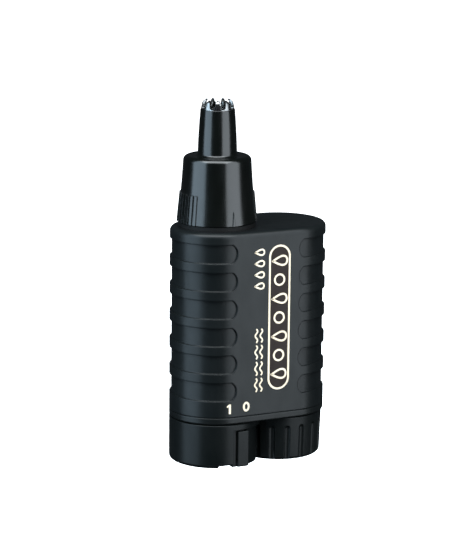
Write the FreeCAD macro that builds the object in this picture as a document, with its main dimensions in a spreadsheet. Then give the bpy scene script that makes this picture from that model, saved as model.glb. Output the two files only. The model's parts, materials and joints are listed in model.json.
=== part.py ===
"""Battery nose hair trimmer, as a parametric assembly of separate pieces.

Frame: millimetres, +Z up, the front (the printed face) looks along -Y. The origin is the middle of
the foot. Two upright axes matter: the drive axis (motor, nozzle and switch knob) at -X and the cell
axis (battery and its cap) at +X.
"""
import FreeCAD, Part
import Sketcher
import math
import os

DOC = FreeCAD.newDocument("nose_hair_trimmer")
SHEET = DOC.addObject("Spreadsheet::Sheet", "Dimensions")
NODES = []


# ---------------------------------------------------------------- dimensions and small helpers

class Size:
    """A number that remembers the sheet expression it came from."""

    def __init__(self, value, text):
        self.value = value
        self.text = text

    def __add__(self, other):
        return joined(self, "+", other)

    def __sub__(self, other):
        return joined(self, "-", other)

    def __mul__(self, other):
        return joined(self, "*", other)

    def __truediv__(self, other):
        return joined(self, "/", other)

    def __radd__(self, other):
        return joined(other, "+", self)

    def __rsub__(self, other):
        return joined(other, "-", self)

    def __rmul__(self, other):
        return joined(other, "*", self)

    def __neg__(self):
        return Size(-self.value, "(0 - " + self.text + ")")


def sized(number):
    """Any number or Size as a Size."""
    if isinstance(number, Size):
        return number
    return Size(float(number), "(" + format(number, ".6g") + ")")


def joined(left, sign, right):
    """The Size of left sign right, with both its value and its expression."""
    left, right = sized(left), sized(right)
    value = {
        "+": left.value + right.value,
        "-": left.value - right.value,
        "*": left.value * right.value,
        "/": left.value / right.value if right.value else 0.0,
    }[sign]
    return Size(value, "(" + left.text + " " + sign + " " + right.text + ")")


def dimension(name, value, note):
    """One driving dimension: a row of the sheet with its alias and what it means."""
    row = str(len(dimension.names) + 1)
    dimension.names.append(name)
    SHEET.set("A" + row, note)
    SHEET.set("B" + row, str(value))
    SHEET.setAlias("B" + row, name)
    return Size(float(value), "Dimensions." + name)


dimension.names = []


def bind(thing, path, size):
    """Sets a property by an expression on the sheet."""
    thing.setExpression(path, sized(size).text)


def place(thing, x=0, y=0, z=0):
    """Puts a document object at (x, y, z)."""
    for letter, size in zip("xyz", (x, y, z)):
        bind(thing, "Placement.Base." + letter, size)
    return thing


def node(thing, label):
    """Marks a finished piece: its label names its file."""
    thing.Label = label
    NODES.append(thing)
    return thing


# Part primitives and booleans, each bound to the sheet

def cylinder(name, radius, height, x=0, y=0, z=0):
    thing = DOC.addObject("Part::Cylinder", name)
    bind(thing, "Radius", radius)
    bind(thing, "Height", height)
    return place(thing, x, y, z)


def block(name, wide, deep, tall, x=0, y=0, z=0):
    """A box centred on (x, y) that stands on z."""
    thing = DOC.addObject("Part::Box", name)
    bind(thing, "Length", wide)
    bind(thing, "Width", deep)
    bind(thing, "Height", tall)
    return place(thing, sized(x) - sized(wide) / 2, sized(y) - sized(deep) / 2, z)


def ball(name, radius, x=0, y=0, z=0):
    thing = DOC.addObject("Part::Sphere", name)
    bind(thing, "Radius", radius)
    return place(thing, x, y, z)


def hoop(name, radius, wire_radius, x=0, z=0):
    """A torus lying flat: a sealing ring."""
    thing = DOC.addObject("Part::Torus", name)
    bind(thing, "Radius1", radius)
    bind(thing, "Radius2", wire_radius)
    return place(thing, x, 0, z)


def fuse(name, things):
    thing = DOC.addObject("Part::MultiFuse", name)
    thing.Shapes = things
    return thing


def cut(name, base, tools):
    """base without the tools."""
    thing = DOC.addObject("Part::Cut", name)
    thing.Base = base
    thing.Tool = tools[0] if len(tools) == 1 else fuse(name + "_tools", tools)
    return thing


def common(name, first, second):
    thing = DOC.addObject("Part::Common", name)
    thing.Base = first
    thing.Tool = second
    return thing


def round_edges(name, base, radius, chosen):
    """Fillets the edges of base for which chosen(edge) is true."""
    DOC.recompute()
    edges = [i + 1 for i, edge in enumerate(base.Shape.Edges) if chosen(edge)]
    thing = DOC.addObject("Part::Fillet", name)
    thing.Base = base
    thing.Edges = [(i, sized(radius).value, sized(radius).value) for i in edges]
    return thing


def level_edge(height):
    """A test for edges that lie flat at a height."""
    def test(edge):
        box = edge.BoundBox
        return abs(box.ZMin - height.value) < 1e-4 and abs(box.ZMax - height.value) < 1e-4
    return test


# PartDesign bodies with constrained sketches

def new_body(name, x=0, y=0, z=0):
    body = DOC.addObject("PartDesign::Body", name)
    return place(body, x, y, z)


def sketch_on(body, role, offset=0):
    """An empty sketch on one of the body's own planes, moved along the plane's normal."""
    plane = next(f for f in body.Origin.OriginFeatures if f.Role == role)
    sketch = body.newObject("Sketcher::SketchObject", body.Name + "_sketch")
    sketch.AttachmentSupport = [(plane, "")]
    sketch.MapMode = "FlatFace"
    bind(sketch, "AttachmentOffset.Base.z", offset)
    return sketch


def constrain(sketch, size, *what):
    """One dimension constraint bound to the sheet."""
    size = sized(size)
    row = sketch.addConstraint(Sketcher.Constraint(*what, size.value))
    sketch.setExpression("Constraints[" + str(row) + "]", size.text)


def outline(sketch, corners):
    """A closed outline. A corner is (x, y), or (x, y, bend) where the edge that leaves it is an arc.

    bend is the arc's radius, positive when the arc bulges to the right of the way it runs. A half
    circle's ends have to be level with each other or one above the other.
    """
    corners = [tuple(sized(c) for c in corner) for corner in corners]
    points = [FreeCAD.Vector(c[0].value, c[1].value, 0) for c in corners]
    ends = []
    for i, corner in enumerate(corners):
        start, end = points[i], points[(i + 1) % len(points)]
        if len(corner) == 2:
            index = sketch.addGeometry(Part.LineSegment(start, end))
        else:
            index = add_arc(sketch, start, end, corner)
        runs_back = (sketch.getPoint(index, 1) - start).Length > 1e-6
        ends.append((index, 2 if runs_back else 1, 1 if runs_back else 2))
    for i, corner in enumerate(corners):
        index, start_end, _ = ends[i]
        before, _, finish_end = ends[i - 1]
        sketch.addConstraint(
            Sketcher.Constraint("Coincident", before, finish_end, index, start_end))
        constrain(sketch, corner[0], "DistanceX", -1, 1, index, start_end)
        constrain(sketch, corner[1], "DistanceY", -1, 1, index, start_end)
    return sketch


def add_arc(sketch, start, end, corner):
    """An arc of the corner's bend from start to end, with the constraint that sets its bulge."""
    bend = corner[2]
    chord = end - start
    half = chord.Length / 2
    flat = math.sqrt(max(bend.value ** 2 - half ** 2, 0))
    right = FreeCAD.Vector(chord.y, -chord.x, 0).normalize()
    middle = (start + end) / 2 + right * math.copysign(abs(bend.value) - flat, bend.value)
    index = sketch.addGeometry(Part.Arc(start, middle, end))
    if flat < 1e-6:
        upright = abs(chord.x) < abs(chord.y)
        side = ("DistanceX", corner[0]) if upright else ("DistanceY", corner[1])
        constrain(sketch, side[1], side[0], -1, 1, index, 3)
    else:
        constrain(sketch, bend if bend.value > 0 else -bend, "Radius", index)
    return index


def circle_in(sketch, radius, x=0, y=0):
    """A circle bound to the sheet."""
    centre = FreeCAD.Vector(sized(x).value, sized(y).value, 0)
    index = sketch.addGeometry(Part.Circle(centre, FreeCAD.Vector(0, 0, 1), sized(radius).value))
    constrain(sketch, radius, "Radius", index)
    constrain(sketch, x, "DistanceX", -1, 1, index, 3)
    constrain(sketch, y, "DistanceY", -1, 1, index, 3)
    return sketch


def feature(body, kind, sketch):
    """A sketch-based PartDesign feature, ready for its own sizes."""
    thing = body.newObject("PartDesign::" + kind, body.Name + "_" + kind.lower())
    thing.Profile = sketch
    sketch.Visibility = False
    return thing


def pad(body, sketch, length):
    thing = feature(body, "Pad", sketch)
    bind(thing, "Length", length)
    return thing


def turned(name, corners, x=0):
    """A body of revolution: corners are (radius, height) pairs, turned about the axis at x."""
    body = new_body(name, x)
    sketch = outline(sketch_on(body, "XZ_Plane"), corners)
    thing = feature(body, "Revolution", sketch)
    thing.ReferenceAxis = (sketch, ["V_Axis"])
    thing.Angle = 360
    return body


def ring_corners(inner, outer, low, high):
    """The four corners of a plain ring's section."""
    return [(inner, low), (outer, low), (outer, high), (inner, high)]


def round_pattern(body, original, count, span=360):
    """Repeats a feature evenly about the body's upright axis, over span degrees."""
    axis = next(f for f in body.Origin.OriginFeatures if f.Role == "Z_Axis")
    pattern = body.newObject("PartDesign::PolarPattern", body.Name + "_pattern")
    pattern.Originals = [original]
    pattern.Axis = (axis, [""])
    pattern.Angle = span
    bind(pattern, "Occurrences", count)
    body.Tip = pattern
    return body


def stadium(name, radius, low, tall):
    """The upright slab with round ends that the shell is made of, about both axes."""
    body = new_body(name)
    sketch = outline(sketch_on(body, "XY_Plane", low), [
        (-AXIS, -radius),
        (AXIS, -radius, radius),
        (AXIS, radius),
        (-AXIS, radius, radius),
    ])
    pad(body, sketch, tall)
    return body


def coil_spring(name, radius, wire, low, tall, turns, x=0):
    """A wound spring standing on low: radius is to the middle of its wire."""
    helix = DOC.addObject("Part::Helix", name + "_line")
    bind(helix, "Radius", radius)
    bind(helix, "Height", tall)
    bind(helix, "Pitch", sized(tall) / turns)
    section = DOC.addObject("Part::Circle", name + "_wire")
    bind(section, "Radius", wire)
    bind(section, "Placement.Base.x", radius)
    section.Placement.Rotation = FreeCAD.Rotation(FreeCAD.Vector(1, 0, 0), 90)
    sweep = DOC.addObject("Part::Sweep", name)
    sweep.Sections = [section]
    sweep.Spine = (helix, ["Edge1"])
    sweep.Solid = True
    sweep.Frenet = True
    return place(sweep, x, 0, low)


# ---------------------------------------------------------------- driving dimensions

AXIS = dimension("axis_offset", 9.6, "half the distance between the drive axis and the cell axis")
DRIVE = -AXIS
CELL = AXIS
BODY_R = dimension("body_radius", 12.8, "radius of the shell's round ends")
PLATE_LOW = dimension("plate_bottom", 12.4, "underside of the base plate")
SHELL_LOW = dimension("shell_bottom", 14.4, "parting line between base plate and shell")
DECK = dimension("deck_height", 65.4, "top of the shell")
WALL = dimension("shell_wall", 1.8, "thickness of the shell and its deck")
DECK_EDGE = dimension("deck_edge", 1.4, "rounding of the deck's edge")

GRIP_COUNT = 6
GRIP_LOW = dimension("grip_bottom", 19.05, "lower edge of the lowest grip recess")
GRIP_PITCH = dimension("grip_pitch", 7.63, "height from one grip recess to the next")
GRIP_TALL = dimension("grip_height", 5.1, "height of a grip recess")
GRIP_DEEP = dimension("grip_depth", 0.55, "depth of a grip recess")
GRIP_BEND = dimension("grip_bend", 3.0, "radius of a grip recess's round end")
GRIP_REACH = dimension("grip_reach", 1.15, "where a grip recess's round end starts, beyond its axis")

FIT = dimension("running_fit", 0.05, "radial gap of a turning fit")
FACE_GAP = dimension("face_gap", 0.2, "gap between the foot pieces and the base plate")

NECK_R = dimension("neck_radius", 7.9, "neck on the deck that the nozzle turns on")
NECK_TOP = dimension("neck_top", 74.4, "top of the neck")
NECK_BORE = dimension("neck_bore", 4.2, "bore through neck and deck for bush and seal")
COLLAR_R = dimension("collar_radius", 10.6, "deck ring under the nozzle")

NOZZLE_LOW = dimension("nozzle_bottom", 66.9, "bottom edge of the nozzle")
NOZZLE_FOOT_R = dimension("nozzle_foot_radius", 10.72, "nozzle at its bottom edge")
NOZZLE_TOP_R = dimension("nozzle_shoulder_radius", 9.2, "nozzle at its shoulder")
SHOULDER = dimension("shoulder_height", 84.85, "flat shoulder of the nozzle")
SHOULDER_EDGE = dimension("shoulder_edge", 1.4, "rounding of the shoulder")
TUBE_FOOT_R = dimension("tube_foot_radius", 5.38, "slender tube at the shoulder")
TUBE_TOP_R = dimension("tube_top_radius", 4.66, "slender tube at its top")
TUBE_TOP = dimension("tube_top", 97.4, "top of the plastic tube")
NOZZLE_BORE = dimension("nozzle_bore", 8.4, "bore of the nozzle over the neck")
RIB_TOP = dimension("rib_top", 74.85, "top of the nozzle's grip ribs")
RIB_FOOT_R = dimension("rib_foot_radius", 11.0, "crest of the grip ribs at the bottom")
RIB_TOP_R = dimension("rib_top_radius", 10.24, "crest of the grip ribs at the top")
RIB_WIDE = dimension("rib_width", 0.85, "width of a grip rib")
RIB_COUNT = dimension("rib_count", 9, "grip ribs on each side of the nozzle")

CROWN_TOP = dimension("crown_top", 100.0, "top of the steel crown")
CROWN_R = dimension("crown_radius", 4.52, "steel crown at its foot")
CROWN_SLOTS = dimension("crown_slots", 9, "slots in the crown")
SLOT_R = dimension("slot_radius", 0.72, "round bottom of a crown slot")
SLOT_MOUTH = dimension("slot_mouth", 1.08, "half the width of a crown slot at its mouth")
SLOT_MIDDLE = dimension("slot_round", 98.3, "height where a crown slot's round bottom starts")

KNOB_FLOOR = dimension("knob_floor", 1.8, "thickness of the knob's floor")
KNOB_WALL_R = dimension("knob_wall_radius", 10.2, "inside of the knob's wall")
KNOB_EDGE = dimension("knob_edge", 1.0, "rounding of the knob's and cap's bottom edge")
HUB_R = dimension("hub_radius", 3.52, "knob hub that turns in the base plate")
RECESS_R = dimension("recess_radius", 11.7, "floor of the recess beside the thumb tab")
RECESS_TOP = dimension("recess_top", 10.6, "top of the recess beside the thumb tab")
TAB_LEFT = dimension("tab_left", 0.96, "left side of the thumb tab from the drive axis")
TAB_RIGHT = dimension("tab_right", 4.4, "right side of the thumb tab from the drive axis")
TAB_FRONT = dimension("tab_front", 12.4, "flat front of the thumb tab from the drive axis")
TAB_TOP = dimension("tab_top", 10.1, "top of the thumb tab")
SWITCH_TURN = dimension("switch_turn", 22.5, "turn between off and on, in degrees")

CAP_TOP_R = dimension("cap_top_radius", 12.35, "battery cap at its top")
CAP_FOOT_R = dimension("cap_foot_radius", 11.95, "battery cap at its foot")
CAP_GAP = dimension("cap_gap", 0.4, "gap between battery cap and switch knob")
FLUTE_COUNT = 18
FLUTE_FIRST = -103
FLUTE_TOP = dimension("flute_top", 10.05, "round top of a grip groove in the battery cap")
FLUTE_R = dimension("flute_radius", 0.97, "radius of a grip groove's section")
FLUTE_DEEP = dimension("flute_depth", 0.5, "depth of a grip groove")

TUBE_BORE = dimension("cell_tube_bore", 7.6, "bore of the battery tube")
TUBE_OUT = dimension("cell_tube_radius", 8.8, "outside of the battery tube")
TUBE_LOW = dimension("cell_tube_bottom", 8.6, "mouth of the battery tube")
TUBE_END = dimension("cell_tube_top", 62.6, "closed end of the battery tube")
CELL_R = dimension("cell_radius", 7.1, "AA cell without its wrap")
CELL_LOW = dimension("cell_bottom", 10.0, "bottom of the AA cell")
CELL_TALL = dimension("cell_length", 50.5, "length of the AA cell with its terminal")
SPIGOT_R = dimension("spigot_radius", 9.9, "spigot under the base plate that the cap seals on")

CAN_R = dimension("motor_radius", 9.9, "outside of the motor can")
CAN_LOW = dimension("motor_bottom", 24.0, "open end of the motor can")
CAN_TOP = dimension("motor_top", 47.5, "closed end of the motor can")
SHAFT_R = dimension("motor_shaft_radius", 1.0, "motor shaft")
BUSH_R = dimension("bush_radius", 2.5, "outside of the motor's bushes")
ROTOR_R = dimension("rotor_radius", 7.2, "rotor core")
SCREW_REACH = dimension("mount_screw_reach", 6.5, "motor mount screws from the drive axis")
DRIVE_R = dimension("drive_shaft_radius", 1.5, "long drive shaft")
BASE_SCREW_Y = dimension("base_screw_offset", 9.3, "base screws in front of and behind the middle")


# ---------------------------------------------------------------- housing and what is fixed in it

def grip_cutter(name, corner, far):
    """What the grip recesses of one end remove: a thin skin inside windows with a round end.

    corner is where the windows' round ends start, and far is beyond the end of the shell.
    """
    windows = new_body(name + "_windows")
    sketch = sketch_on(windows, "XZ_Plane")
    for i in range(GRIP_COUNT):
        low = GRIP_LOW + GRIP_PITCH * i
        high = low + GRIP_TALL
        up, down = (low, high) if corner.value > far.value else (high, low)
        outline(sketch, [(far, up), (corner, up, GRIP_BEND), (corner, down), (far, down)])
    through = pad(windows, sketch, BODY_R * 4)
    through.Midplane = True
    outer = stadium(name + "_outer", BODY_R + 1, SHELL_LOW, DECK - SHELL_LOW)
    core = stadium(name + "_core", BODY_R - GRIP_DEEP, SHELL_LOW, DECK - SHELL_LOW)
    return common(name, cut(name + "_skin", outer, [core]), windows)


def main_housing():
    """Shell with round ends, open below, with the neck for the nozzle on its deck."""
    tall = DECK - SHELL_LOW
    blank = stadium("housing_blank", BODY_R, SHELL_LOW, tall)
    rounded = round_edges("housing_rounded", blank, DECK_EDGE, level_edge(DECK))
    hollow = stadium("housing_hollow", BODY_R - WALL, SHELL_LOW, tall - WALL)
    left = grip_cutter("grip_left", DRIVE - GRIP_REACH, DRIVE - BODY_R * 2)
    right = grip_cutter("grip_right", CELL + GRIP_REACH, CELL + BODY_R * 2)
    shell = cut("housing_shell", rounded, [hollow, left, right])
    neck = cylinder("housing_neck", NECK_R, NECK_TOP - DECK + 1, DRIVE, 0, DECK - 1)
    bosses = []
    pilots = []
    for i, side in enumerate((-1, 1)):
        y = BASE_SCREW_Y * side
        bosses.append(cylinder("screw_boss_" + str(i), 1.9, 7.6, 0, y, SHELL_LOW))
        pilots.append(cylinder("screw_pilot_" + str(i), 0.82, 6.2, 0, y, SHELL_LOW))
    whole = fuse("housing_whole", [shell, neck] + bosses)
    bore = cylinder("neck_bore_tool", NECK_BORE, NECK_TOP - DECK + WALL * 2, DRIVE, 0, DECK - WALL - 1)
    return node(cut("housing_cut", whole, [bore] + pilots), "main_housing")


def base_plate():
    """Plate that closes the shell, seen as a bead under it, with a spigot for the battery cap."""
    blank = stadium("plate_blank", BODY_R, PLATE_LOW, SHELL_LOW - PLATE_LOW)
    low, high = level_edge(PLATE_LOW), level_edge(SHELL_LOW)
    rounded = round_edges("plate_rounded", blank, 0.45, lambda e: low(e) or high(e))
    spigot = cylinder("plate_spigot", SPIGOT_R, PLATE_LOW - 9.6 + 0.5, CELL, 0, 9.6)
    whole = fuse("plate_whole", [rounded, spigot])
    tools = [
        cylinder("plate_hub_hole", HUB_R + FIT, 4, DRIVE, 0, PLATE_LOW - 1),
        cylinder("plate_cell_hole", TUBE_OUT + FIT, 8, CELL, 0, TUBE_LOW),
        block("plate_strip_slot", 0.9, 3.4, 8, CELL - TUBE_OUT - 0.1, 0, TUBE_LOW),
    ]
    for i, side in enumerate((-1, 1)):
        y = BASE_SCREW_Y * side
        tools.append(cylinder("plate_screw_hole_" + str(i), 0.9, 4, 0, y, PLATE_LOW - 1))
        tools.append(cylinder("plate_screw_sink_" + str(i), 1.7, 2, 0, y, PLATE_LOW - 0.9))
    return node(cut("plate_cut", whole, tools), "base_plate")


def slotted_screw(name, head_r, head_tall, shank_r, shank_long, x, y, under_head, head_up=True):
    """A screw whose head sits on under_head, with a driver slot in the head."""
    way = 1 if head_up else -1
    head_z = under_head if head_up else under_head - head_tall
    shank_z = under_head - shank_long if head_up else under_head
    slot_z = head_z + head_tall - 0.5 if head_up else head_z - 0.1
    shape = fuse(name + "_blank", [
        cylinder(name + "_head", head_r, head_tall, x, y, head_z),
        cylinder(name + "_shank", shank_r, shank_long, x, y, shank_z),
    ])
    return cut(name, shape, [block(name + "_slot", head_r * 3, 0.45, 0.6, x, y, slot_z)])


def base_screws():
    """Two screws from below that hold the base plate to the shell."""
    screws = []
    for i, side in enumerate((-1, 1)):
        screws.append(slotted_screw("base_screw_" + str(i), 1.6, 1.0, 0.8, 6.0, 0,
                                    BASE_SCREW_Y * side, PLATE_LOW + 1.1, head_up=False))
    return node(fuse("base_screw_pair", screws), "base_screws")


def deck_ring():
    """Sealing ring that lies on the deck round the neck, under the nozzle."""
    low, high = DECK, NOZZLE_LOW - FACE_GAP
    return node(turned("deck_ring", ring_corners(NECK_R + FIT, COLLAR_R, low, high), DRIVE), "deck_ring")


def battery_tube():
    """Liner that holds the cell, open at the foot."""
    return node(turned("battery_tube", [
        (TUBE_BORE, TUBE_LOW), (TUBE_OUT, TUBE_LOW), (TUBE_OUT, TUBE_END),
        (0, TUBE_END), (0, TUBE_END - 1.2), (TUBE_BORE, TUBE_END - 1.2),
    ], CELL), "battery_tube")


def battery_cell():
    """AA cell: its steel can, its printed wrap and its terminal cap."""
    top = CELL_LOW + CELL_TALL
    node(turned("cell_can", [
        (0, CELL_LOW), (CELL_R - 0.4, CELL_LOW), (CELL_R, CELL_LOW + 0.4),
        (CELL_R, top - 1.8), (CELL_R - 0.6, top - 1.2), (0, top - 1.2),
    ], CELL), "battery_cell")
    node(turned("cell_wrap", ring_corners(CELL_R, CELL_R + 0.15, CELL_LOW + 0.5, top - 1.9), CELL),
         "cell_wrap")
    node(turned("cell_terminal", [
        (0, top - 1.2), (4.6, top - 1.2), (4.6, top - 1.0), (2.75, top - 1.0),
        (2.75, top - 0.2), (2.55, top), (0, top),
    ], CELL), "cell_terminal")


def contacts():
    """Brass contact over the cell, and the strip that brings the cap's side up to the switch."""
    roof = TUBE_END - 1.2
    node(turned("positive_contact", [
        (0, roof - 0.8), (1.8, roof - 0.8), (2.6, roof - 0.35), (5.5, roof - 0.35),
        (5.5, roof), (0, roof),
    ], CELL), "positive_contact")
    strip_x = CELL - TUBE_OUT - 0.2
    strip_low = TUBE_LOW + 0.2
    upright = block("strip_upright", 0.3, 3.0, SHELL_LOW + 0.4 - strip_low, strip_x, 0, strip_low)
    foot = block("strip_foot", 0.7, 3.0, 0.4, strip_x - 0.25, 0, SHELL_LOW)
    node(fuse("strip", [upright, foot]), "contact_strip")
    right = block("pad_right", 4.0, 3.0, 0.4, DRIVE + 7.6, 0, SHELL_LOW)
    left = block("pad_left", 4.0, 3.0, 0.4, DRIVE - 7.6, 0, SHELL_LOW)
    node(fuse("pads", [right, left]), "switch_pads")


# ---------------------------------------------------------------- motor

def motor_shell():
    """Can, end bell, magnets, bushes, brushes and terminals: the motor's fixed side."""
    inner = CAN_R - 0.65
    can = turned("motor_can_body", [
        (inner, CAN_LOW), (CAN_R, CAN_LOW), (CAN_R, CAN_TOP), (3.0, CAN_TOP),
        (3.0, CAN_TOP + 1.7), (BUSH_R, CAN_TOP + 1.7), (BUSH_R, CAN_TOP - 0.8), (inner, CAN_TOP - 0.8),
    ], DRIVE)
    holes = []
    for i, side in enumerate((-1, 1)):
        holes.append(cylinder("can_hole_" + str(i), SHAFT_R + FIT, 3, DRIVE, SCREW_REACH * side,
                              CAN_TOP - 2))
    node(cut("can_cut", can, holes), "motor_can")
    node(turned("end_bell", [
        (BUSH_R, CAN_LOW - 2.5), (CAN_R, CAN_LOW - 2.5), (CAN_R, CAN_LOW), (inner, CAN_LOW),
        (inner, CAN_LOW + 2), (inner - 1, CAN_LOW + 2), (inner - 1, CAN_LOW), (BUSH_R, CAN_LOW),
    ], DRIVE), "motor_end_bell")
    ring = turned("magnet_ring", ring_corners(ROTOR_R + 0.4, inner, CAN_LOW + 3, CAN_TOP - 3), DRIVE)
    gap = block("magnet_gap", BODY_R * 2, 4, 40, DRIVE, 0, CAN_LOW)
    node(cut("magnets", ring, [gap]), "motor_magnets")
    bore = SHAFT_R + FIT
    node(turned("bush_front", ring_corners(bore, BUSH_R, CAN_TOP - 0.8, CAN_TOP + 1.7), DRIVE),
         "front_bush")
    node(turned("bush_rear", ring_corners(bore, BUSH_R, CAN_LOW - 2.4, CAN_LOW - 0.1), DRIVE),
         "rear_bush")
    brushes = []
    terminals = []
    for i, side in enumerate((-1, 1)):
        brushes.append(block("brush_" + str(i), 1.4, 2.0, 3.2, DRIVE + side * 3.2, 0, CAN_LOW))
        terminals.append(block("terminal_" + str(i), 0.4, 2.2, 2.9, DRIVE + side * 6.0, 0,
                               CAN_LOW - 5.4))
    node(fuse("brush_pair", brushes), "motor_brushes")
    node(fuse("terminal_pair", terminals), "motor_terminals")


def motor_mount():
    """Plate across the shell that the motor hangs from, with its two screws."""
    plate = turned("mount_plate", ring_corners(3.0 + FIT, BODY_R - WALL - 0.1, CAN_TOP, CAN_TOP + 1.7),
                   DRIVE)
    tools = [block("mount_flat", 4, BODY_R * 2, 3, 1.85, 0, CAN_TOP - 0.5)]
    screws = []
    for i, side in enumerate((-1, 1)):
        y = SCREW_REACH * side
        tools.append(cylinder("mount_hole_" + str(i), SHAFT_R + FIT, 3, DRIVE, y, CAN_TOP - 0.5))
        screws.append(slotted_screw("mount_screw_" + str(i), 1.9, 1.2, 1.0, 3.0, DRIVE, y,
                                    CAN_TOP + 1.7))
    node(cut("mount_cut", plate, tools), "motor_mount")
    node(fuse("mount_screw_pair", screws), "mount_screws")


def rotor():
    """What turns inside the motor: shaft, three-pole core, its windings and the commutator."""
    node(cylinder("shaft", SHAFT_R, 32.5, DRIVE, 0, CAN_LOW - 2), "motor_shaft")
    low, tall = CAN_LOW + 6, 12
    core = new_body("core", DRIVE)
    sketch = sketch_on(core, "XY_Plane", low)
    circle_in(sketch, 2.6)
    pad(core, sketch, tall)
    arm = outline(sketch_on(core, "XY_Plane", low), [(0, -1.2), (5.9, -1.2), (5.9, 1.2), (0, 1.2)])
    pads = pad(core, arm, tall)
    round_pattern(core, pads, 3)
    shoes = turned("shoe_ring", ring_corners(ROTOR_R - 1.4, ROTOR_R, low, low + tall), DRIVE)
    gaps = new_body("shoe_gaps", DRIVE)
    gap = outline(sketch_on(gaps, "XY_Plane", low - 1), [(-9, -0.6), (0, -0.6), (0, 0.6), (-9, 0.6)])
    round_pattern(gaps, pad(gaps, gap, tall + 2), 3)
    poles = fuse("poles", [core, cut("shoes", shoes, [gaps])])
    hole = cylinder("core_bore", SHAFT_R, tall + 2, DRIVE, 0, low - 1)
    node(cut("core_cut", poles, [hole]), "rotor_core")

    coils = new_body("coils", DRIVE)
    section = outline(sketch_on(coils, "XY_Plane", low - 1.2),
                      [(2.7, -2.6), (5.0, -2.6), (5.0, 2.6), (2.7, 2.6)])
    round_pattern(coils, pad(coils, section, tall + 2.4), 3)
    arms = new_body("coil_windows", DRIVE)
    window = outline(sketch_on(arms, "XY_Plane", low), [(0, -1.2), (6.5, -1.2), (6.5, 1.2), (0, 1.2)])
    round_pattern(arms, pad(arms, window, tall), 3)
    node(cut("coils_cut", coils, [arms]), "rotor_windings")

    bars = turned("bar_ring", ring_corners(SHAFT_R, 2.4, CAN_LOW + 0.4, CAN_LOW + 4.4), DRIVE)
    splits = new_body("bar_splits", DRIVE)
    split = outline(sketch_on(splits, "XY_Plane", CAN_LOW),
                    [(1.8, -0.15), (3, -0.15), (3, 0.15), (1.8, 0.15)])
    round_pattern(splits, pad(splits, split, 5), 3)
    node(cut("bars_cut", bars, [splits]), "commutator")


def wire(name, points, radius):
    """A round wire of straight runs joined by arcs as large as the runs allow."""
    stops = [FreeCAD.Vector(*[sized(c).value for c in point]) for point in points]
    edges = []
    last = stops[0]
    for before, corner, after in zip(stops, stops[1:], stops[2:]):
        back = (before - corner).normalize()
        ahead = (after - corner).normalize()
        turn = math.pi - back.getAngle(ahead)
        reach = 0.45 * min((before - corner).Length, (after - corner).Length)
        bend = reach / math.tan(turn / 2)
        start, end = corner + back * reach, corner + ahead * reach
        inward = (back + ahead).normalize()
        middle = corner + inward * (bend / math.cos(turn / 2) - bend)
        edges.append(Part.LineSegment(last, start).toShape())
        edges.append(Part.Arc(start, middle, end).toShape())
        last = end
    edges.append(Part.LineSegment(last, stops[-1]).toShape())
    path = Part.Wire(edges)
    section = Part.Wire(Part.Circle(stops[0], stops[1] - stops[0], radius).toShape())
    thing = DOC.addObject("Part::Feature", name)
    thing.Shape = path.makePipeShell([section], True, False)
    return thing


def leads():
    """Red lead from the cell's contact down to the motor, black lead from the switch."""
    x = CELL - TUBE_OUT - 0.25
    low = CAN_LOW - 4.2
    node(wire("lead_from_cell", [
        (x, 3.5, TUBE_END), (x, 3.5, low), (DRIVE + 6.8, 0.4, low),
    ], 0.5), "red_lead")
    node(wire("lead_from_switch", [
        (DRIVE - 8.8, 0, SHELL_LOW + 0.4), (DRIVE - 8.8, 0, low - 0.6), (DRIVE - 6.7, 0, low + 0.5),
    ], 0.5), "black_lead")


# ---------------------------------------------------------------- drive train above the motor

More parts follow.
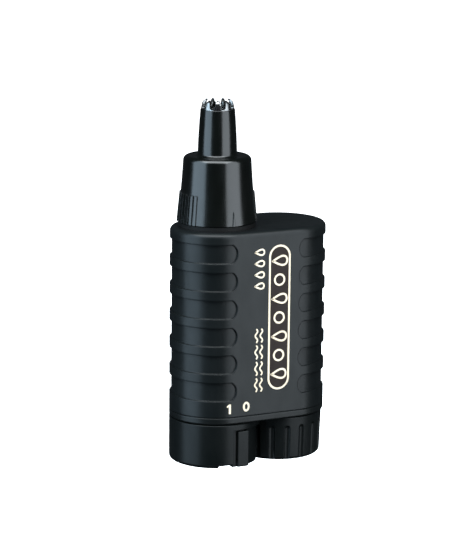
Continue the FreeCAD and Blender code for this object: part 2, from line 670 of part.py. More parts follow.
def drive_train():
    """Coupling on the motor shaft, the long shaft, and the sprung inner blade that it turns."""
    low = CAN_TOP + 3.4
    top = low + 7.5
    barrel = cylinder("coupling_barrel", 3.4, 7.5, DRIVE, 0, low)
    node(cut("coupling_cut", barrel, [
        cylinder("coupling_bore", SHAFT_R, 4.6, DRIVE, 0, low - 1),
        block("coupling_socket", 3.1, 3.1, 5, DRIVE, 0, top - 3.6),
    ]), "drive_coupling")
    collar_low = SHOULDER - 2.15
    square_low = collar_low + 5.3
    node(fuse("drive_shaft_whole", [
        block("drive_shaft_foot", 3.0, 3.0, 3.6, DRIVE, 0, top - 3.4),
        cylinder("drive_shaft_rod", DRIVE_R, square_low - top, DRIVE, 0, top),
        cylinder("drive_shaft_collar", 2.4, 0.8, DRIVE, 0, collar_low),
        block("drive_shaft_head", 2.0, 2.0, 6.0, DRIVE, 0, square_low),
    ]), "drive_shaft")
    bore = DRIVE_R + FIT
    node(turned("bush_deck", ring_corners(bore, NECK_BORE, DECK - WALL, DECK + 1.2), DRIVE), "deck_bush")
    node(turned("seal", [
        (DRIVE_R + 0.5, NECK_TOP - 3), (NECK_BORE, NECK_TOP - 3), (NECK_BORE, NECK_TOP - 0.4),
        (bore, NECK_TOP - 0.4), (bore, NECK_TOP - 1.0), (DRIVE_R + 0.5, NECK_TOP - 1.6),
    ], DRIVE), "shaft_seal")
    node(coil_spring("blade_spring_coil", 2.1, 0.22, collar_low + 1.1, 3.6, 4, DRIVE), "blade_spring")

    holder_low = square_low
    holder = turned("holder", [
        (0, holder_low), (2.9, holder_low), (2.9, holder_low + 2.8), (3.35, holder_low + 2.8),
        (3.35, holder_low + 4), (2.9, holder_low + 4), (2.9, holder_low + 7.2), (0, holder_low + 7.2),
    ], DRIVE)
    hole = block("holder_hole", 2.05, 2.05, 7.2, DRIVE, 0, holder_low - 1)
    node(cut("holder_cut", holder, [hole]), "blade_holder")

    cup = turned("inner_cup", [
        (2.9, holder_low + 4), (3.4, holder_low + 4), (3.4, CROWN_TOP - 1.35, 0.6),
        (2.9, CROWN_TOP - 0.85), (2.6, CROWN_TOP - 1.2), (2.9, CROWN_TOP - 1.6),
    ], DRIVE)
    slots = new_body("inner_slots", DRIVE)
    slot = outline(sketch_on(slots, "XY_Plane", CROWN_TOP - 3.6),
                   [(-5, -0.6), (5, -0.6), (5, 0.6), (-5, 0.6)])
    round_pattern(slots, pad(slots, slot, 5), 4, 135)
    node(cut("inner_cut", cup, [slots]), "inner_blade")


# ---------------------------------------------------------------- cutter head

def nozzle():
    """Gloss nozzle: a tapered foot over the neck and a slender tube, with grip ribs at both sides."""
    blank = turned("nozzle_blank", [
        (NOZZLE_BORE, NOZZLE_LOW), (NOZZLE_FOOT_R, NOZZLE_LOW, -290), (NOZZLE_TOP_R, SHOULDER),
        (TUBE_FOOT_R, SHOULDER, 230), (TUBE_TOP_R, TUBE_TOP), (4.12, TUBE_TOP), (4.12, TUBE_TOP - 8.8),
        (3.75, TUBE_TOP - 8.8), (3.9, SHOULDER - 1.6), (7.8, SHOULDER - 1.6), (NOZZLE_BORE, RIB_TOP),
    ], DRIVE)
    shoulder = level_edge(SHOULDER)
    rim_r = NOZZLE_TOP_R.value
    rounded = round_edges("nozzle_rounded", blank, SHOULDER_EDGE,
                          lambda e: shoulder(e) and e.BoundBox.YMax > rim_r - 0.01)
    foot = round_edges("nozzle_foot", rounded, 0.7,
                       lambda e: shoulder(e) and e.BoundBox.YMax < TUBE_FOOT_R.value + 0.5)
    tip = level_edge(TUBE_TOP)
    soft = round_edges("nozzle_tip", foot, 0.12,
                       lambda e: tip(e) and e.BoundBox.YMax > TUBE_TOP_R.value - 0.05)
    band = turned("rib_band", [
        (NOZZLE_BORE + 1.2, NOZZLE_LOW), (RIB_FOOT_R, NOZZLE_LOW), (RIB_TOP_R, RIB_TOP),
        (NOZZLE_BORE + 1.0, RIB_TOP),
    ], DRIVE)
    spokes = new_body("rib_spokes", DRIVE)
    half = RIB_WIDE / 2
    reach = RIB_FOOT_R + 1
    spoke = outline(sketch_on(spokes, "XY_Plane", NOZZLE_LOW),
                    [(-reach, -half), (reach, -half), (reach, half), (-reach, half)])
    span = 60
    round_pattern(spokes, pad(spokes, spoke, RIB_TOP - NOZZLE_LOW), RIB_COUNT, span)
    spokes.Placement.Rotation = FreeCAD.Rotation(FreeCAD.Vector(0, 0, 1), -span / 2)
    wedge = new_body("index_wedge", DRIVE)
    mark = outline(sketch_on(wedge, "XZ_Plane"),
                   [(-0.4, NOZZLE_LOW), (0.4, NOZZLE_LOW), (0, NOZZLE_LOW + 3.9)])
    pad(wedge, mark, reach)
    ribs = common("nozzle_ribs", band, fuse("rib_places", [spokes, wedge]))
    groove = turned("head_groove", ring_corners(NOZZLE_BORE - 1, 8.9, NOZZLE_LOW + 3, NOZZLE_LOW + 4),
                    DRIVE)
    node(cut("nozzle_cut", fuse("nozzle_whole", [soft, ribs]), [groove]), "nozzle")


def outer_blade():
    """Steel crown in the nozzle's tip: teeth that rise between round slots and curl inwards."""
    blank = turned("crown_blank", [
        (3.62, TUBE_TOP - 8.6), (4.07, TUBE_TOP - 8.6), (4.07, TUBE_TOP), (CROWN_R, TUBE_TOP, 12),
        (CROWN_R - 0.3, CROWN_TOP - 1.05, 1.3), (3.3, CROWN_TOP), (3.18, CROWN_TOP - 0.42, -0.95),
        (3.8, CROWN_TOP - 1.15), (3.75, TUBE_TOP - 0.4), (3.62, TUBE_TOP - 0.4),
    ], DRIVE)
    slots = new_body("crown_slots", DRIVE)
    slot = outline(sketch_on(slots, "YZ_Plane"), [
        (-SLOT_R, SLOT_MIDDLE, SLOT_R), (SLOT_R, SLOT_MIDDLE),
        (SLOT_MOUTH, CROWN_TOP + 0.1), (-SLOT_MOUTH, CROWN_TOP + 0.1),
    ])
    round_pattern(slots, pad(slots, slot, CROWN_R * 2), CROWN_SLOTS)
    slots.Placement.Rotation = FreeCAD.Rotation(FreeCAD.Vector(0, 0, 1), 24)
    node(cut("crown_cut", blank, [slots]), "outer_blade")


def sealing_rings():
    """Soft rings between neck and nozzle, spigot and battery cap, and knob hub and base plate."""
    node(hoop("ring_in_head", NECK_R + FIT + 0.45, 0.45, DRIVE, NOZZLE_LOW + 3.5), "head_seal_ring")
    node(hoop("ring_in_cap", SPIGOT_R + FIT + 0.45, 0.45, CELL, 10.6), "cap_seal_ring")
    node(hoop("ring_on_hub", HUB_R - 0.44, 0.45, DRIVE, PLATE_LOW + 1), "knob_seal")


# ---------------------------------------------------------------- switch knob

def cap_sweep(name, radius, low, tall):
    """The space that the battery cap takes in the knob's own frame over the knob's whole turn."""
    reach = AXIS * 2
    angle = math.radians(SWITCH_TURN.value)
    first = cylinder(name + "_first", radius, tall, CELL, 0, low)
    last = cylinder(name + "_last", radius, tall, DRIVE + reach * math.cos(angle),
                    reach * math.sin(angle), low)
    ring = turned(name + "_ring", ring_corners(reach - radius, reach + 4, low, low + tall), DRIVE)
    wedge = new_body(name + "_wedge", DRIVE)
    far = reach + radius
    sector = outline(sketch_on(wedge, "XY_Plane", low), [
        (0, 0), (far, 0), (far * math.cos(angle), far * math.sin(angle)),
    ])
    pad(wedge, sector, tall)
    return fuse(name, [first, last, common(name + "_between", ring, wedge)])


def switch_knob():
    """Rotary foot knob: a cup with a hub, scalloped to clear the cap, with a thumb tab in a recess."""
    top = PLATE_LOW - FACE_GAP
    blank = cylinder("knob_blank", BODY_R, top, DRIVE)
    bottom, rim = level_edge(sized(0)), level_edge(top)
    rounded = round_edges("knob_rounded", blank, KNOB_EDGE, bottom)
    softened = round_edges("knob_softened", rounded, 0.25, rim)
    gap = CAP_TOP_R + CAP_GAP
    outer = cut("knob_outer", softened, [cap_sweep("knob_scallop", gap, -1, top + 2)])
    cavity = cut("knob_cavity", cylinder("knob_inside", KNOB_WALL_R, top, DRIVE, 0, KNOB_FLOOR),
                 [cap_sweep("knob_scallop_wall", gap + 1.4, 0, top * 2)])
    cup = cut("knob_cup", outer, [cavity])
    hub = cylinder("knob_hub", HUB_R, SHELL_LOW + 0.6 - 1, DRIVE, 0, 1)

    skin = turned("recess_ring", ring_corners(RECESS_R, BODY_R + 2, -1, RECESS_TOP), DRIVE)
    wedge = new_body("recess_wedge", DRIVE)
    far = BODY_R * 2
    start, end = math.radians(-92), math.radians(-39)
    sector = outline(sketch_on(wedge, "XY_Plane", -1), [
        (0, 0), (far * math.cos(start), far * math.sin(start)),
        (far * math.cos(end), far * math.sin(end)),
    ])
    pad(wedge, sector, RECESS_TOP + 2)
    recess = common("knob_recess", skin, wedge)
    notch = block("knob_notch", 4.2, 6, 1.1, DRIVE - 2.4, -BODY_R, 0)
    tab = block("thumb_tab", TAB_RIGHT - TAB_LEFT, TAB_FRONT - RECESS_R + 1.2, TAB_TOP,
                DRIVE + (TAB_LEFT + TAB_RIGHT) / 2, -(TAB_FRONT + RECESS_R - 1.2) / 2, 0)
    tab_soft = round_edges("thumb_tab_soft", tab, 0.3,
                           lambda e: e.BoundBox.YMin < -TAB_FRONT.value + 0.01)
    carved = cut("knob_carved", fuse("knob_with_hub", [cup, hub]), [recess, notch])
    whole = fuse("knob_whole", [carved, tab_soft])
    node(cut("knob_cut", whole, [
        cylinder("knob_pilot", SHAFT_R + 0.02, 9, DRIVE, 0, 8),
        turned("knob_seal_groove", ring_corners(HUB_R - 0.92, HUB_R + 1, PLATE_LOW + 0.5,
                                                PLATE_LOW + 1.5), DRIVE),
    ]), "switch_knob")


def switch_inside():
    """Wiper bar on the knob's hub that bridges the two pads when on, its washer and its screw."""
    low = SHELL_LOW + 0.6
    off = SWITCH_TURN.value
    bar = new_body("wiper_bar", DRIVE)
    section = outline(sketch_on(bar, "XY_Plane", low),
                      [(-7.5, -1.1), (7.5, -1.1), (7.5, 1.1), (-7.5, 1.1)])
    pad(bar, section, 0.3)
    bumps = sketch_on(bar, "XY_Plane", low - 0.1)
    circle_in(bumps, 0.6, 6.6)
    circle_in(bumps, 0.6, -6.6)
    pad(bar, bumps, 0.2)
    bar.Placement.Rotation = FreeCAD.Rotation(FreeCAD.Vector(0, 0, 1), off)
    hole = cylinder("wiper_hole", SHAFT_R + FIT, 2, DRIVE, 0, low - 1)
    node(cut("wiper_cut", bar, [hole]), "switch_wiper")
    node(turned("washer", ring_corners(SHAFT_R + FIT, 2.4, low + 0.3, low + 0.7), DRIVE), "wiper_washer")
    node(slotted_screw("hub_screw", 2.0, 1.1, 1.0, 7.0, DRIVE, 0, low + 0.7), "knob_screw")


# ---------------------------------------------------------------- battery cap

def cap_flutes():
    """What the cap's grip grooves remove: rods with a ball on top that lean with the cap's side."""
    slope = (CAP_TOP_R - CAP_FOOT_R) / (PLATE_LOW - FACE_GAP)
    lean = FreeCAD.Rotation(FreeCAD.Vector(0, 1, 0), math.degrees(math.atan(slope.value)))
    out = CAP_FOOT_R - FLUTE_DEEP + FLUTE_R
    tall = FLUTE_TOP - FLUTE_R
    tools = []
    for i in range(FLUTE_COUNT):
        angle = FLUTE_FIRST + 360 / FLUTE_COUNT * i
        cos, sin = math.cos(math.radians(angle)), math.sin(math.radians(angle))
        rod = cylinder("flute_" + str(i), FLUTE_R, tall, CELL + out * cos, out * sin)
        turn = FreeCAD.Rotation(FreeCAD.Vector(0, 0, 1), angle)
        rod.Placement.Rotation = turn.multiply(lean)
        high = out + slope * tall
        tools.append(rod)
        tools.append(ball("flute_top_" + str(i), FLUTE_R, CELL + high * cos, high * sin, tall))
    return tools


def battery_cap():
    """Cup with grip grooves under the cell, with its insert, contact cup and spring."""
    top = PLATE_LOW - FACE_GAP
    blank = turned("cap_blank", [
        (0, 0), (CAP_FOOT_R, 0), (CAP_TOP_R, top), (SPIGOT_R + FIT, top),
        (SPIGOT_R + FIT, TUBE_LOW - 0.2), (9.25, TUBE_LOW - 0.2), (9.25, 2.0), (0, 2.0),
    ], CELL)
    foot, rim = level_edge(sized(0)), level_edge(top)
    rounded = round_edges("cap_rounded", blank, KNOB_EDGE, foot)
    soft = round_edges("cap_soft", rounded, 0.25,
                       lambda e: rim(e) and e.BoundBox.YMax > CAP_TOP_R.value - 0.1)
    groove = turned("cap_groove", ring_corners(SPIGOT_R - 1, SPIGOT_R + 1, 10.1, 11.1), CELL)
    node(cut("cap_cut", soft, [groove] + cap_flutes()), "battery_cap")

    insert_top = TUBE_LOW - 0.3
    node(turned("insert", [
        (0, 2.0), (9.2, 2.0), (9.2, insert_top), (7.95, insert_top), (7.95, 3.0), (0, 3.0),
    ], CELL), "cap_insert")
    node(turned("disc", [
        (0, 3.0), (7.9, 3.0), (7.9, insert_top), (9.2, insert_top), (9.2, insert_top + 0.2),
        (7.65, insert_top + 0.2), (7.65, 3.3), (0, 3.3),
    ], CELL), "cap_disc")
    node(coil_spring("cap_spring_coil", 5.0, 0.4, 3.8, CELL_LOW - 4.4, 4, CELL), "cap_spring")


# ---------------------------------------------------------------- the whole object

def check_and_write():
    """Stops if anything failed to build, then writes one file for each piece."""
    DOC.recompute()
    for thing in DOC.Objects:
        if "Invalid" in thing.State or "Error" in thing.State:
            raise RuntimeError(thing.Name + " failed: " + str(thing.State))
    for thing in NODES:
        if thing.Shape.isNull() or not thing.Shape.isValid() or thing.Shape.Volume <= 0:
            raise RuntimeError(thing.Label + " has no valid solid")
    os.makedirs("parts", exist_ok=True)
    for thing in NODES:
        thing.Shape.exportStep("parts/" + thing.Label + ".step")
    print(len(NODES), "pieces written")


main_housing()
base_plate()
base_screws()
deck_ring()
battery_tube()
battery_cell()
contacts()
motor_shell()
motor_mount()
rotor()
leads()
drive_train()
nozzle()
outer_blade()
sealing_rings()
switch_knob()
switch_inside()
battery_cap()
check_and_write()
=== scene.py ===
"""Looks of the nose hair trimmer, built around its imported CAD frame. Metres, +Z up, front towards -Y."""
import json
import math

import bmesh
import bpy
from mathutils import Matrix, Vector


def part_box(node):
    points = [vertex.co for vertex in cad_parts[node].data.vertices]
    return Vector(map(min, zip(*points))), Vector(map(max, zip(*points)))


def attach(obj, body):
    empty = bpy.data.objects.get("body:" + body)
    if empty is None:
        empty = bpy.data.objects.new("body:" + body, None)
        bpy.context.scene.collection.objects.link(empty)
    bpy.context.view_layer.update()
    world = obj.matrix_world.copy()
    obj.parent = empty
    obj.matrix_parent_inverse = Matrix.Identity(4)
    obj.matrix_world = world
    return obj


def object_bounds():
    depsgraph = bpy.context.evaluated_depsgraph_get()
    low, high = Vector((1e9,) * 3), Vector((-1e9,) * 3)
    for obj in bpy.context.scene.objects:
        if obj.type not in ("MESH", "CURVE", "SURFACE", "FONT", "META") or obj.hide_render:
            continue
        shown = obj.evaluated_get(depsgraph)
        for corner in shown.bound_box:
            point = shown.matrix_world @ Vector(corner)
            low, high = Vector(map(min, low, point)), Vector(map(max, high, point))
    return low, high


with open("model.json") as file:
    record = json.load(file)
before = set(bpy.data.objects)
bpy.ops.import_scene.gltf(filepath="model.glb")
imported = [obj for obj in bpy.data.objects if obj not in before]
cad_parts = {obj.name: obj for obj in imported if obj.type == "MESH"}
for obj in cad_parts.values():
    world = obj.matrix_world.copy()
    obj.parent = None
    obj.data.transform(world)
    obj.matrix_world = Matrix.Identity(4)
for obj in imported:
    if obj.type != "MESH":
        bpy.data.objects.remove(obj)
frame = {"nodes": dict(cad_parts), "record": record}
cad_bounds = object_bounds()

MM = 0.001
NODES = frame["nodes"]

# Places that everything else is worked out from, all read from the frame
HOUSING_LOW, HOUSING_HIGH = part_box("main_housing")
END_R = (HOUSING_HIGH.y - HOUSING_LOW.y) / 2
AXIS = HOUSING_HIGH.x - END_R
TOP = cad_bounds[1][2]
DRIVE_AXIS = Vector((-AXIS, 0, 0))


# ---------------------------------------------------------------- camera

LENS = 157.42
CAMERA_AT = Vector((-0.29224, -0.58533, 0.19286))
YAW = math.radians(26.226)
PITCH = math.radians(12.334)
ROLL = math.radians(0.584)


def add_camera():
    """A long lens from the front left, a little above, at the photograph's viewing angle."""
    data = bpy.data.cameras.new("photo_camera")
    camera = bpy.data.objects.new("photo_camera", data)
    bpy.context.scene.collection.objects.link(camera)
    data.lens = LENS
    data.clip_start = 0.01
    data.clip_end = 20
    ahead = Vector((math.sin(YAW) * math.cos(PITCH), math.cos(YAW) * math.cos(PITCH), -math.sin(PITCH)))
    right = Vector((math.cos(YAW), -math.sin(YAW), 0))
    up = right.cross(ahead)
    turned_right = right * math.cos(ROLL) + up * math.sin(ROLL)
    turned_up = up * math.cos(ROLL) - right * math.sin(ROLL)
    axes = Matrix((turned_right, turned_up, -ahead)).transposed()
    camera.matrix_world = Matrix.Translation(CAMERA_AT) @ axes.to_4x4()
    bpy.context.scene.camera = camera
    return camera


CAMERA = add_camera()


# ---------------------------------------------------------------- materials

def new_material(name):
    """An empty node material with a Principled shader: returns (material, tree, shader)."""
    material = bpy.data.materials.new(name)
    material.use_nodes = True
    tree = material.node_tree
    return material, tree, tree.nodes["Principled BSDF"]


def noise(tree, scale, detail=4.0, stretch=(1, 1, 1)):
    """Fractal noise over the object's own coordinates; scale is in features per metre."""
    place = tree.nodes.new("ShaderNodeTexCoord")
    spread = tree.nodes.new("ShaderNodeMapping")
    spread.inputs["Scale"].default_value = stretch
    texture = tree.nodes.new("ShaderNodeTexNoise")
    texture.inputs["Scale"].default_value = scale
    texture.inputs["Detail"].default_value = detail
    tree.links.new(place.outputs["Object"], spread.inputs["Vector"])
    tree.links.new(spread.outputs["Vector"], texture.inputs["Vector"])
    return texture.outputs["Fac"]


def ramp(tree, source, low, high, start=0.35, end=0.65):
    """Maps a noise onto the range between two colours, or between two greys for a value."""
    node = tree.nodes.new("ShaderNodeValToRGB")
    node.color_ramp.elements[0].position = start
    node.color_ramp.elements[1].position = end
    node.color_ramp.elements[0].color = low
    node.color_ramp.elements[1].color = high
    tree.links.new(source, node.inputs["Fac"])
    return node.outputs["Color"]


def grey(value):
    return (value, value, value, 1)


def bump(tree, shader, source, height, edge=0.0):
    """Fine relief of the given height, with edges rounded off by a radius when edge is given."""
    node = tree.nodes.new("ShaderNodeBump")
    node.inputs["Distance"].default_value = height
    node.inputs["Strength"].default_value = 1.0
    tree.links.new(source, node.inputs["Height"])
    if edge:
        bevel = tree.nodes.new("ShaderNodeBevel")
        bevel.samples = 6
        bevel.inputs["Radius"].default_value = edge
        tree.links.new(bevel.outputs["Normal"], node.inputs["Normal"])
    tree.links.new(node.outputs["Normal"], shader.inputs["Normal"])


def plastic(name, colour, worn, roughness, spread, grain, relief, edge=0.0, specular=0.5):
    """Moulded plastic: slightly uneven colour and sheen, with a fine texture from the tool."""
    material, tree, shader = new_material(name)
    cloud = noise(tree, 90, 3.0)
    tree.links.new(ramp(tree, cloud, (*colour, 1), (*worn, 1)), shader.inputs["Base Color"])
    smear = noise(tree, 420, 5.0, (1, 1, 0.35))
    tree.links.new(ramp(tree, smear, grey(roughness), grey(roughness + spread)),
                   shader.inputs["Roughness"])
    shader.inputs["Specular IOR Level"].default_value = specular
    bump(tree, shader, noise(tree, grain, 2.0), relief, edge)
    return material


def metal(name, colour, worn, roughness, spread, stretch=(1, 1, 1), grain=9000, relief=2e-6, edge=0.0):
    """Bare or plated metal with fine working marks along the stretched direction."""
    material, tree, shader = new_material(name)
    marks = noise(tree, grain, 4.0, stretch)
    tree.links.new(ramp(tree, marks, (*colour, 1), (*worn, 1)), shader.inputs["Base Color"])
    tree.links.new(ramp(tree, marks, grey(roughness), grey(roughness + spread)),
                   shader.inputs["Roughness"])
    shader.inputs["Metallic"].default_value = 1.0
    bump(tree, shader, marks, relief, edge)
    return material


SHELL = plastic("shell_satin", (0.0032, 0.0042, 0.0044), (0.0045, 0.0056, 0.0058), 0.30, 0.06, 5200,
                2e-6, edge=0.00042, specular=0.19)
FOOT = plastic("foot_satin", (0.0026, 0.0034, 0.0034), (0.0038, 0.0046, 0.0046), 0.28, 0.06, 5200,
               2e-6, edge=0.00025, specular=0.12)
PLATE = plastic("plate_satin", (0.0028, 0.0036, 0.0036), (0.0040, 0.0048, 0.0048), 0.30, 0.06, 5200,
                2e-6, edge=0.0002, specular=0.18)
GLOSS = plastic("nozzle_gloss", (0.0010, 0.0014, 0.0011), (0.0014, 0.0018, 0.0015), 0.19, 0.04, 1500,
                3e-7, edge=0.0002, specular=0.45)
RUBBER = plastic("seal_rubber", (0.002, 0.002, 0.002), (0.0035, 0.0035, 0.0035), 0.55, 0.1, 4000, 4e-6,
                 specular=0.12)
NATURAL = plastic("natural_nylon", (0.50, 0.49, 0.44), (0.58, 0.56, 0.50), 0.42, 0.1, 3000, 4e-6,
                  edge=0.0001)
WRAP = plastic("cell_wrap_film", (0.02, 0.05, 0.12), (0.03, 0.07, 0.15), 0.22, 0.06, 1200, 2e-6)
RED = plastic("red_insulation", (0.42, 0.02, 0.015), (0.50, 0.03, 0.02), 0.35, 0.1, 2500, 4e-6)
BLACK = plastic("black_insulation", (0.010, 0.010, 0.010), (0.016, 0.016, 0.016), 0.38, 0.1, 2500, 4e-6)
FERRITE = plastic("ferrite", (0.030, 0.030, 0.032), (0.055, 0.055, 0.058), 0.60, 0.15, 6000, 1e-5)
CARBON = plastic("pressed_carbon", (0.015, 0.015, 0.015), (0.03, 0.03, 0.03), 0.5, 0.15, 8000, 8e-6)
PRINT = plastic("print_cream", (0.74, 0.63, 0.47), (0.68, 0.56, 0.41), 0.5, 0.1, 6000, 2e-6)
PRINT_DARK = plastic("print_dark", (0.010, 0.0055, 0.004), (0.014, 0.008, 0.006), 0.4, 0.1, 6000, 2e-6,
                     specular=0.15)
STEEL = metal("blade_steel", (0.13, 0.13, 0.13), (0.24, 0.24, 0.24), 0.15, 0.08, stretch=(1, 1, 0.1),
              grain=6000, relief=1e-6, edge=0.00006)
PLATED = metal("plated_steel", (0.46, 0.47, 0.48), (0.62, 0.62, 0.63), 0.22, 0.12, stretch=(1, 1, 0.2))
BRASS = metal("contact_brass", (0.62, 0.44, 0.17), (0.78, 0.58, 0.27), 0.20, 0.12)
COPPER = metal("winding_copper", (0.50, 0.18, 0.07), (0.66, 0.28, 0.12), 0.28, 0.12, stretch=(0.1, 0.1, 1),
               grain=5000, relief=2e-5)

FINISHES = {
    "shell_plastic": SHELL,
    "foot_plastic": FOOT,
    "plate_plastic": PLATE,
    "nozzle_plastic": GLOSS,
    "blade_steel": STEEL,
    "plated_steel": PLATED,
    "contact_brass": BRASS,
    "winding_copper": COPPER,
    "magnet": FERRITE,
    "carbon": CARBON,
    "seal_rubber": RUBBER,
    "inner_plastic": NATURAL,
    "cell_wrap": WRAP,
    "red_insulation": RED,
    "black_insulation": BLACK,
}


def finish_cad_nodes():
    """Gives every CAD node the material of its record slot."""
    for part in frame["record"]["subparts"]:
        thing = NODES[part["node"]]
        thing.data.materials.clear()
        thing.data.materials.append(FINISHES[part["material_slot"]])


finish_cad_nodes()


# ---------------------------------------------------------------- printed marks on the front

PRINT_LIFT = 0.03 * MM
MARK_STROKE = 0.55 * MM
BADGE_STROKE = 0.54 * MM
DROP_STROKE = 0.45 * MM
WAVE_STROKE = 0.42 * MM


def front_y(x, lift):
    """The shell's front surface at x, moved out by lift."""
    beyond = max(abs(x) - AXIS, 0)
    return -math.sqrt((END_R + lift) ** 2 - beyond ** 2)


def oval(x, z, wide, tall, steps=40):
    """A closed loop of points round an ellipse."""
    turn = [2 * math.pi * i / steps for i in range(steps)]
    return [(x + wide / 2 * math.cos(a), z + tall / 2 * math.sin(a)) for a in turn]


def capsule(x, z, wide, tall, steps=16):
    """A closed loop round an upright or level pill."""
    r = min(wide, tall) / 2
    up, side = tall / 2 - r, wide / 2 - r
    loop = []
    for cx, cz, start in ((side, up, 0), (-side, up, 90), (-side, -up, 180), (side, -up, 270)):
        for i in range(steps):
            a = math.radians(start + 90 * i / (steps - 1))
            loop.append((x + cx + r * math.cos(a), z + cz + r * math.sin(a)))
    return loop


def drop(x, z, size, steps=40):
    """A closed loop round a falling drop that points along -X, as if read with the object lying."""
    loop = []
    for i in range(steps):
        a = 2 * math.pi * i / steps
        sharp = math.sin(a / 2) ** 1.5
        loop.append((x - size * 0.62 * math.cos(a), z + size * 0.5 * math.sin(a) * sharp))
    return loop


def ribbon(bm, points, width, closed=True):
    """A flat stroke of even width along the points, in the (x, z) plane."""
    count = len(points)
    rows = []
    for i, (x, z) in enumerate(points):
        if closed:
            before, after = points[i - 1], points[(i + 1) % count]
        else:
            before, after = points[max(i - 1, 0)], points[min(i + 1, count - 1)]
        dx, dz = after[0] - before[0], after[1] - before[1]
        length = math.hypot(dx, dz) or 1
        nx, nz = -dz / length * width / 2, dx / length * width / 2
        rows.append((bm.verts.new((x + nx, 0, z + nz)), bm.verts.new((x - nx, 0, z - nz))))
    for i in range(count if closed else count - 1):
        a, b = rows[i], rows[(i + 1) % count]
        bm.faces.new((a[0], a[1], b[1], b[0]))


def patch(bm, points):
    """A filled flat shape: a fan of triangles from the middle of the loop to its points."""
    middle_x = sum(p[0] for p in points) / len(points)
    middle_z = sum(p[1] for p in points) / len(points)
    rim = [bm.verts.new((x, 0, z)) for x, z in points]
    heart = bm.verts.new((middle_x, 0, middle_z))
    for i, vert in enumerate(rim):
        bm.faces.new((heart, vert, rim[(i + 1) % len(rim)]))


def printed(name, build, material, lift=PRINT_LIFT):
    """A thin closed print that lies on the shell's front: build draws it flat in (x, z)."""
    bm = bmesh.new()
    build(bm)
    grown = bmesh.ops.extrude_face_region(bm, geom=list(bm.faces))
    raised = {v for v in grown["geom"] if isinstance(v, bmesh.types.BMVert)}
    for vert in bm.verts:
        vert.co.y = front_y(vert.co.x, lift if vert in raised else -lift)
    bmesh.ops.recalc_face_normals(bm, faces=bm.faces)
    mesh = bpy.data.meshes.new(name)
    bm.to_mesh(mesh)
    bm.free()
    mesh.materials.append(material)
    thing = bpy.data.objects.new(name, mesh)
    bpy.context.scene.collection.objects.link(thing)
    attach(thing, "handle")


def wave(x, z, wide, tall, steps=17):
    """An open line of one and a half swells that runs up the face, about (x, z)."""
    return [(x + wide / 2 * math.sin(3 * math.pi * i / (steps - 1)), z - tall / 2 + tall * i / (steps - 1))
            for i in range(steps)]


def add_switch_numbers():
    """The 1 and 0 above the thumb tab: where the tab points when on and when off."""
    zero_x, zero_z = -AXIS + 3.2 * MM, HOUSING_LOW.z + 2.7 * MM
    one_x, one_z = -AXIS - 1.8 * MM, HOUSING_LOW.z + 2.45 * MM
    stem_x, stem_half = one_x + 0.1 * MM, 1.35 * MM
    stem_stroke, flag_stroke = 0.6 * MM, 0.42 * MM

    def zero(bm):
        ribbon(bm, oval(zero_x, zero_z, 1.45 * MM, 2.2 * MM), MARK_STROKE)

    def one(bm):
        ribbon(bm, [(stem_x, one_z - stem_half), (stem_x, one_z + stem_half)], stem_stroke, closed=False)
        ribbon(bm, [(one_x - 0.62 * MM, one_z + 0.55 * MM), (one_x - 0.2 * MM, one_z + 1.1 * MM)],
               flag_stroke, closed=False)

    printed("mark_off", zero, PRINT)
    printed("mark_on", one, PRINT)


def add_front_badge():
    """A strip of water pictograms, with a column of drops and one of waves on its left."""
    x, wide = 3.3 * MM, 6.0 * MM
    low, high = HOUSING_LOW.z + 6.8 * MM, HOUSING_HIGH.z - 13.3 * MM
    z, tall = (low + high) / 2, high - low
    icon_count, ring_size, icon_drop = 7, 2.9 * MM, 3.6 * MM
    column, mark_count = -2.8 * MM, 4
    drop_first, drop_step, drop_size = 1.4 * MM, 3.1 * MM, 2.2 * MM
    wave_first, wave_step, wave_wide, wave_tall = 1.6 * MM, 4.6 * MM, 0.7 * MM, 3.8 * MM
    wave_aside = 0.75 * MM

    def ground(bm):
        patch(bm, capsule(x, z, wide, tall))

    def outline(bm):
        ribbon(bm, capsule(x, z, wide, tall), BADGE_STROKE)

    def icons(bm):
        step = (tall - wide * 0.5) / icon_count
        for i in range(icon_count):
            place = low + wide * 0.25 + step * (i + 0.5)
            if i % 2:
                ribbon(bm, oval(x, place, ring_size, ring_size), BADGE_STROKE)
            else:
                ribbon(bm, drop(x, place, icon_drop), BADGE_STROKE)

    def drops(bm):
        for i in range(mark_count):
            ribbon(bm, drop(column, high - drop_first - drop_step * i, drop_size), DROP_STROKE)

    def waves(bm):
        for i in range(mark_count):
            middle = low + wave_first + wave_step * i
            for x_line in (column - wave_aside, column + wave_aside):
                ribbon(bm, wave(x_line, middle, wave_wide, wave_tall), WAVE_STROKE, closed=False)

    printed("badge_ground", ground, PRINT_DARK, PRINT_LIFT / 2)
    printed("badge_outline", outline, PRINT)
    printed("badge_icons", icons, PRINT)
    printed("drop_marks", drops, PRINT)
    printed("wave_marks", waves, PRINT)


add_switch_numbers()
add_front_badge()


# ---------------------------------------------------------------- floor and light

FLOOR_DROP = 21.0 * MM
FLOOR_HALF = 6.0
FLOOR_GLOW = 1.1
AMBIENT = 0.04
BACKDROP = 1.3
SIDE_BOX_Z = 0.30


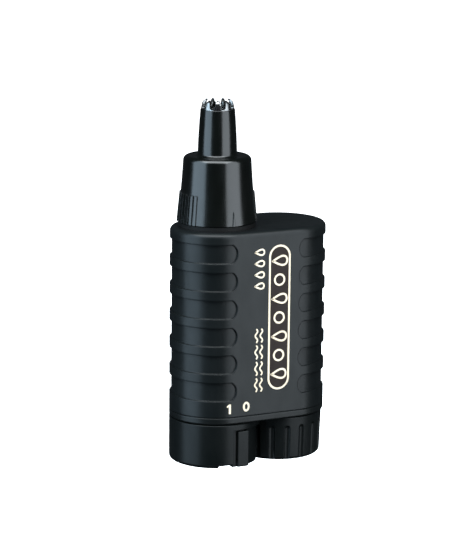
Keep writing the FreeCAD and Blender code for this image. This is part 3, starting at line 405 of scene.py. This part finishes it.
def add_floor():
    """A plain white floor that doesn't light the trimmer, low enough for the cap to come off above it."""
    mesh = bpy.data.meshes.new("floor")
    low = cad_bounds[0][2] - FLOOR_DROP
    corners = [(x, y, low) for x, y in ((-FLOOR_HALF, -FLOOR_HALF), (FLOOR_HALF, -FLOOR_HALF),
                                        (FLOOR_HALF, FLOOR_HALF), (-FLOOR_HALF, FLOOR_HALF))]
    mesh.from_pydata(corners, [], [(0, 1, 2, 3)])
    floor = bpy.data.objects.new("floor", mesh)
    bpy.context.scene.collection.objects.link(floor)
    material, _, shader = new_material("floor_white")
    shader.inputs["Base Color"].default_value = grey(0.9)
    shader.inputs["Roughness"].default_value = 0.9
    shader.inputs["Emission Color"].default_value = grey(1.0)
    shader.inputs["Emission Strength"].default_value = FLOOR_GLOW
    mesh.materials.append(material)
    floor.visible_glossy = False
    floor.visible_diffuse = False
    floor.visible_shadow = False


def add_world():
    """A white backdrop to the camera, and a faint cool light to everything else."""
    world = bpy.data.worlds.new("studio")
    world.use_nodes = True
    bpy.context.scene.world = world
    tree = world.node_tree
    ground = tree.nodes["Background"]
    ground.inputs["Color"].default_value = (0.75, 0.85, 1.0, 1)
    ground.inputs["Strength"].default_value = AMBIENT
    white = tree.nodes.new("ShaderNodeBackground")
    white.inputs["Color"].default_value = grey(1)
    white.inputs["Strength"].default_value = BACKDROP
    rays = tree.nodes.new("ShaderNodeLightPath")
    mixed = tree.nodes.new("ShaderNodeMixShader")
    tree.links.new(rays.outputs["Is Camera Ray"], mixed.inputs["Fac"])
    tree.links.new(ground.outputs["Background"], mixed.inputs[1])
    tree.links.new(white.outputs["Background"], mixed.inputs[2])
    tree.links.new(mixed.outputs["Shader"], tree.nodes["World Output"].inputs["Surface"])


def add_softbox(name, bearing, rise, distance, width, height, middle_z, radiance, colour):
    """A rectangle of light facing the drive axis at middle_z.

    bearing is in degrees about the drive axis from the camera, towards the camera's own right, and rise
    is in degrees above the horizon.
    """
    data = bpy.data.lights.new(name, "AREA")
    data.shape = "RECTANGLE"
    data.size = width
    data.size_y = height
    data.color = colour
    data.energy = radiance * math.pi * width * height
    light = bpy.data.objects.new(name, data)
    bpy.context.scene.collection.objects.link(light)
    camera_bearing = math.atan2(CAMERA.location.y, CAMERA.location.x + AXIS)
    angle = camera_bearing + math.radians(bearing)
    level, up = math.cos(math.radians(rise)), math.sin(math.radians(rise))
    outward = Vector((math.cos(angle) * level, math.sin(angle) * level, up))
    light.location = DRIVE_AXIS + outward * distance + Vector((0, 0, middle_z))
    light.rotation_euler = outward.to_track_quat("Z", "Y").to_euler()
    light.visible_camera = False


add_floor()
add_world()
add_softbox("left_softbox", bearing=-62, rise=0, distance=0.55, width=0.49, height=1.0,
            middle_z=SIDE_BOX_Z, radiance=5.0, colour=(0.64, 0.84, 1.0))
add_softbox("right_softbox", bearing=53.5, rise=0, distance=0.55, width=0.49, height=1.0,
            middle_z=SIDE_BOX_Z, radiance=4.6, colour=(0.84, 0.93, 1.0))
add_softbox("top_softbox", bearing=-5, rise=62, distance=0.60, width=0.90, height=0.50,
            middle_z=TOP, radiance=9.0, colour=(0.90, 0.97, 1.0))
bpy.context.scene.view_settings.view_transform = "Standard"
